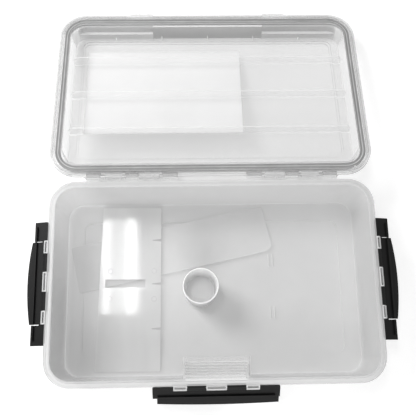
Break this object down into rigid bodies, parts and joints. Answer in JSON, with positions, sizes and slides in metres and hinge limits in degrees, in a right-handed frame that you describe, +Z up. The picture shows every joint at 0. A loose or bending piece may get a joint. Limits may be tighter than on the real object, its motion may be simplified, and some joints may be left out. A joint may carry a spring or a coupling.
{
  "type": "waterproof utility tackle box",
  "caption": "Shallow translucent utility box, open: deep base, gasketed lid hinged at the back, dark snap latches, loose divider plates, a sample cup and a blank insert card.",
  "frame": {"origin": "middle of the base's underside, on the surface that the box stands on", "axes": "+X to the right as seen from the front latch, +Y from the front latch to the hinge, +Z up"},
  "size_m": [0.393, 0.461, 0.0673],
  "materials": {
    "base_clear": "translucent frosted polypropylene",
    "lid_clear": "translucent frosted polypropylene",
    "seal": "soft grey seal",
    "latch_black": "satin black",
    "pin_steel": "drawn wire",
    "divider_clear": "translucent gloss",
    "cup_white": "milky white gloss",
    "card": "plain coated card"
  },
  "bodies": {
    "base": {"base_shell": "base_clear", "hinge_pin_left": "pin_steel", "hinge_pin_right": "pin_steel", "latch_pin_front": "pin_steel", "latch_pin_left": "pin_steel", "latch_pin_right": "pin_steel"},
    "lid": {"lid_shell": "lid_clear", "lid_gasket": "seal", "insert_card": "card"},
    "front_latch": {"latch_front": "latch_black"},
    "left_latch": {"latch_left": "latch_black"},
    "right_latch": {"latch_right": "latch_black"},
    "long_divider": {"divider_long": "divider_clear"},
    "slotted_divider": {"divider_slotted": "divider_clear"},
    "cup": {"sample_cup": "cup_white"}
  },
  "joints": [
    {"name": "lid_hinge", "type": "hinge", "parent": "base", "child": "lid", "pos_m": [0, 0.11285, 0.0641], "axis": [-1, 0, 0], "range_deg": [-191.11, 0]},
    {"name": "front_latch_hinge", "type": "hinge", "parent": "base", "child": "front_latch", "pos_m": [0, -0.1088, 0.0591], "axis": [1, 0, 0], "range_deg": [-130, 0]},
    {"name": "left_latch_hinge", "type": "hinge", "parent": "base", "child": "left_latch", "pos_m": [-0.1758, 0, 0.0591], "axis": [0, -1, 0], "range_deg": [-105, 0]},
    {"name": "right_latch_hinge", "type": "hinge", "parent": "base", "child": "right_latch", "pos_m": [0.1758, 0, 0.0591], "axis": [0, 1, 0], "range_deg": [-105, 0]},
    {"name": "long_divider_lift", "type": "slide", "parent": "base", "child": "long_divider", "axis": [0, 0, 1], "range_m": [0, 0.09]},
    {"name": "slotted_divider_lift", "type": "slide", "parent": "long_divider", "child": "slotted_divider", "axis": [0, 0, 1], "range_m": [0, 0.09]},
    {"name": "cup_lift", "type": "slide", "parent": "base", "child": "cup", "axis": [0, 0, 1], "range_m": [0, 0.1]}
  ]
}
